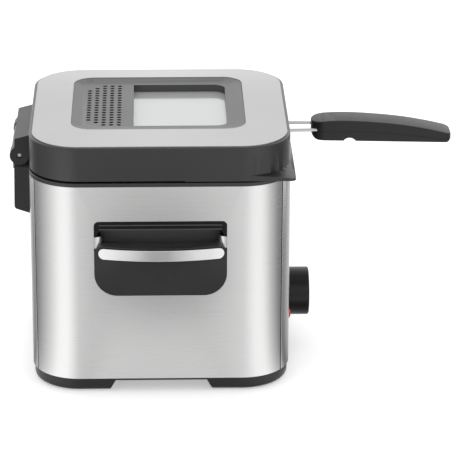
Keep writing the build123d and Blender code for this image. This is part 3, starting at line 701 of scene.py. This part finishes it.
marks = bmesh.new()
for index in range(MARKS):
    angle = math.radians(TURN * index / (MARKS - 1))
    length = LONG_MARK if index in (0, MARKS - 1) else SHORT_MARK
    middle = KNOB_RADIUS + 2.0 + length / 2
    y = middle * math.sin(angle)
    z = KNOB_Z + middle * math.cos(angle)
    spin = Matrix.Rotation(-angle, 3, "X")
    add_block(marks, (0.10, 0.9, length), spin, at(BODY_HALF_X + 0.03, y, z))
make_piece(marks, "knob_scale", BLACK_DEEP, "housing")

levels = bmesh.new()
for z in LEVELS:
    add_block(levels, (1.0, 16.0, 0.9), STRAIGHT, at(POT_BACK, 0, z))
make_piece(levels, "pot_levels", NONSTICK, "housing")
print("marks", MARKS, "round the knob,", len(LEVELS), "in the pot")

# %% [markdown]
# Each side recess has more in it than a plain cup. Its ends are steel, rolled inward over a
# small radius, and catch the light. The back wall is a paler grey. Two thin beads run under
# the hood. They are real ridges at its step edges, and their pale colour is painted highlight.

# %% Inside the side recesses
ROLL = 8.0
ROLL_LOW = 127.5
ROLL_HIGH = 137.2
RECESS_HALF = 54.0
RECESS_BACK = 85.0
BEADS = ((143.8, 0.7, -0.6), (147.6, 0.7, 0.2))

rolls = bmesh.new()
for sx, sy in FOUR_CORNERS:
    quarter = corner_band(45.0, 45.0, ROLL - 0.8, ROLL, ROLL_LOW, ROLL_HIGH)
    spread(rolls, quarter, (-sx, sy), (sx * RECESS_HALF, sy * (BODY_HALF_Y - ROLL)))
make_piece(rolls, "recess_rolls", STEEL_SIDE, "housing")

walls = bmesh.new()
beads = bmesh.new()
for side in (-1, 1):
    wall_at = at(0, side * (RECESS_BACK + 0.25), 122.0)
    add_block(walls, (2 * RECESS_HALF - 10.0, 0.4, 40.0), STRAIGHT, wall_at)
    for z, height, forward in BEADS:
        y = side * (BODY_HALF_Y + forward)
        add_block(beads, (2 * RECESS_HALF - 8.0, 0.7, height), STRAIGHT, at(0, y, z))
make_piece(walls, "recess_backs", GREY_WALL, "housing")
# The beads are paler than the hood: painted highlight on its step edges.
make_piece(beads, "hood_bead_highlights", BLACK_WELL, "housing")
print("recesses", 2, "with", len(BEADS), "beads each")

# %% [markdown]
# The setting is a plain studio: a pale floor that runs out of sight, one wide soft lamp
# overhead and an even white sky. The floor glows a little by itself, so that it stays white
# to its far edge, and only the soft shadow under the fryer shows where it is.

# %% Floor, lamp and sky
FLOOR_SIZE = 9.0
FLOOR_GLOW = 0.42
OVERHEAD = 9.0
LAMP_SIZE = 2.2
SKY = 0.70


def bm_stage(bm, name, material):
    mesh = bpy.data.meshes.new(name)
    bm.to_mesh(mesh)
    bm.free()
    mesh.materials.append(material)
    plane = link(name, mesh)
    return plane


def floor():
    bm = bmesh.new()
    bmesh.ops.create_grid(bm, x_segments=1, y_segments=1, size=FLOOR_SIZE)
    bm_stage(bm, "floor", Bench("pale_floor").finish({
        "Base Color": (0.93, 0.93, 0.93, 1),
        "Roughness": 0.9,
        "Emission Color": (1, 1, 1, 1),
        "Emission Strength": FLOOR_GLOW,
    }))


def soft_light(name, place, aim, size, power):
    data = bpy.data.lights.new(name, "AREA")
    data.shape = "RECTANGLE"
    data.size = size
    data.size_y = size
    data.energy = power
    lamp = link(name, data)
    lamp.location = place
    lamp.rotation_euler = (aim - place).to_track_quat("-Z", "Y").to_euler()


def world(level):
    sky = bpy.data.worlds.new("studio")
    sky.use_nodes = True
    sky.node_tree.nodes["Background"].inputs["Color"].default_value = (1, 1, 1, 1)
    sky.node_tree.nodes["Background"].inputs["Strength"].default_value = level
    bpy.context.scene.world = sky


floor()
centre = at(0, 0, 100)
soft_light("overhead", centre + Vector((0, 0.5, 1.6)), centre, LAMP_SIZE, OVERHEAD)
world(SKY)
print("lamp", OVERHEAD, "W, sky", SKY)

# %% [markdown]
# A shiny wall shows what stands in front of it. A studio puts white and black cards round a
# steel pan, just out of the frame, so that its rounded corners show a clean bright band and
# then a dark one. Only reflections see the cards here, so they are in no view, and they
# throw no light or shade of their own.

# %% A card that only reflections see
CARD_PEAK = 2.0
CARD_Z = 0.5


def card_stage(bm, name, bench, glow, power):
    material = bench.finish({
        "Base Color": (0, 0, 0, 1),
        "Roughness": 1.0,
        "Specular IOR Level": 0.0,
        "Emission Color": glow,
        "Emission Strength": power,
    })
    material.cycles.emission_sampling = "NONE"
    plane = bm_stage(bm, name, material)
    plane.visible_camera = False
    plane.visible_diffuse = False
    plane.visible_shadow = False
    plane.visible_transmission = False


# %% [markdown]
# On each side a flat wedge lies on the floor, with its point near the centre of the shell's
# round corner. A ray that leaves the corner at some angle meets the wedge at that same angle,
# so the brightness is set angle by angle: each pair below is degrees from straight ahead and
# a share of the full level.

# %% Wedge cards at the corners
CORNER = (67.0, -63.0)
WEDGE_NEAR = 44.0
WEDGE_FAR = 1100.0
RIGHT_CARD = [(-14, 0.48), (0, 0.56), (12, 0.66), (26, 0.82), (44, 0.84), (56, 0.68), (66, 0.48),
              (80, 0.30), (92, 0.14), (104, 0.13), (118, 0.24), (150, 0.42)]
LEFT_CARD = [(-8, 0.45), (2, 0.50), (14, 0.72), (26, 0.90), (44, 0.88), (60, 0.66), (80, 0.43),
             (98, 0.27), (112, 0.15), (125, 0.20), (150, 0.36)]


def wedge(side, start, stop, apex):
    bm = bmesh.new()
    inner = bm.verts.new((0, -WEDGE_NEAR, 0))
    bmesh.ops.spin(bm, geom=[inner], cent=(0, 0, 0), axis=(0, 0, 1), steps=24,
                   angle=math.radians(stop - start), dvec=(0, 0, 0), use_duplicate=False)
    outer = bmesh.ops.extrude_edge_only(bm, edges=list(bm.edges))["geom"]
    moved = [v for v in outer if isinstance(v, bmesh.types.BMVert)]
    grow = WEDGE_FAR / WEDGE_NEAR
    bmesh.ops.scale(bm, vec=(grow, grow, 1), verts=moved)
    first = Matrix.Rotation(math.radians(start), 3, "Z")
    bmesh.ops.rotate(bm, cent=(0, 0, 0), matrix=first, verts=bm.verts)
    bmesh.ops.scale(bm, vec=(side * MM, MM, MM), verts=bm.verts)
    bmesh.ops.translate(bm, vec=apex, verts=bm.verts)
    return bm


def wedge_card(name, side, levels):
    start, stop = levels[0][0], levels[-1][0]
    apex = at(side * CORNER[0], CORNER[1], CARD_Z)
    bench = Bench(name)
    spot = bench.place(shift=-apex)
    across = bench.axis(spot, 0) * side
    ahead = bench.axis(spot, 1) * -1.0
    angle = across.join("ARCTAN2", across, ahead)
    share = (angle - math.radians(start)) * (1 / math.radians(stop - start))
    stops = [((degree - start) / (stop - start), level) for degree, level in levels]
    glow = bench.levels(share, stops)
    card_stage(wedge(side, start, stop, apex), name, bench, glow, CARD_PEAK)


wedge_card("card_left", -1, LEFT_CARD)
wedge_card("card_right", 1, RIGHT_CARD)
print("wedges", len(LEFT_CARD), "and", len(RIGHT_CARD), "levels")

# %% [markdown]
# The flat side darkens toward the recess, so an oval card lies in front of it, black in the
# middle. A low round wall stands far out and lights the top faces, which see it at a
# glancing angle from every side.

# %% Oval card and round wall
OVAL_Y = -375.0
OVAL_REACH = (75.0, 120.0)
OVAL_LEVELS = [(0.0, 0.0), (0.6, 0.0), (1.0, 0.50)]
WALL = 1.5
WALL_RADIUS = 2.2
WALL_LOW = 0.25
WALL_HIGH = 2.1


def oval_card(name):
    bm = bmesh.new()
    bmesh.ops.create_circle(bm, cap_ends=True, segments=48, radius=MM)
    bmesh.ops.scale(bm, vec=(*OVAL_REACH, 1), verts=bm.verts)
    spot = at(0, OVAL_Y, CARD_Z + 0.5)
    bmesh.ops.translate(bm, vec=spot, verts=bm.verts)
    bench = Bench(name)
    size = (1 / (OVAL_REACH[0] * MM), 1 / (OVAL_REACH[1] * MM), 1)
    shift = (-spot.x * size[0], -spot.y * size[1], -spot.z)
    inside = bench.place(size, shift)
    reach = bench.node("ShaderNodeVectorMath", {"operation": "LENGTH"}, {0: inside}, out=1)
    card_stage(bm, name, bench, bench.levels(reach, OVAL_LEVELS), CARD_PEAK)


def wall_card(name):
    bm = bmesh.new()
    start = bm.verts.new((WALL_RADIUS, 0, WALL_LOW))
    bmesh.ops.spin(bm, geom=[start], cent=(0, 0, 0), axis=(0, 0, 1), steps=64,
                   angle=math.radians(360), dvec=(0, 0, 0), use_duplicate=False)
    bmesh.ops.remove_doubles(bm, verts=bm.verts, dist=MM)
    top = bmesh.ops.extrude_edge_only(bm, edges=list(bm.edges))["geom"]
    moved = [v for v in top if isinstance(v, bmesh.types.BMVert)]
    bmesh.ops.translate(bm, vec=(0, 0, WALL_HIGH - WALL_LOW), verts=moved)
    bmesh.ops.translate(bm, vec=(CENTRE_X, 0, 0), verts=bm.verts)
    bench = Bench(name)
    cloud = bench.noise(0.6, (1, 1, 1), 1.0)
    glow = bench.colours(cloud, (0.96, 0.96, 0.96), (1, 1, 1))
    card_stage(bm, name, bench, glow, WALL)


oval_card("card_middle")
wall_card("card_wall")
print("wall", WALL_RADIUS, "m out,", WALL_HIGH, "m high")

# %% [markdown]
# The fryer is seen from its right side, from a little above the lid and from two metres
# away. A long lens keeps its upright edges nearly parallel.

# %% Camera
FOCAL = 204.56
SENSOR = 36.0
SIDE_SHIFT = 0.0652
EYE = (-6.5, -2072.63, 912.4)
TILT = 68.67
PAN = -1.12

lens = bpy.data.cameras.new("camera")
lens.lens = FOCAL
lens.sensor_width = SENSOR
lens.shift_x = SIDE_SHIFT
eye = link("camera", lens)
eye.location = at(*EYE)
eye.rotation_euler = (math.radians(TILT), 0, math.radians(PAN))
bpy.context.scene.camera = eye
bpy.context.scene.view_settings.view_transform = "Standard"
print("camera", round(eye.location.length, 3), "m out")
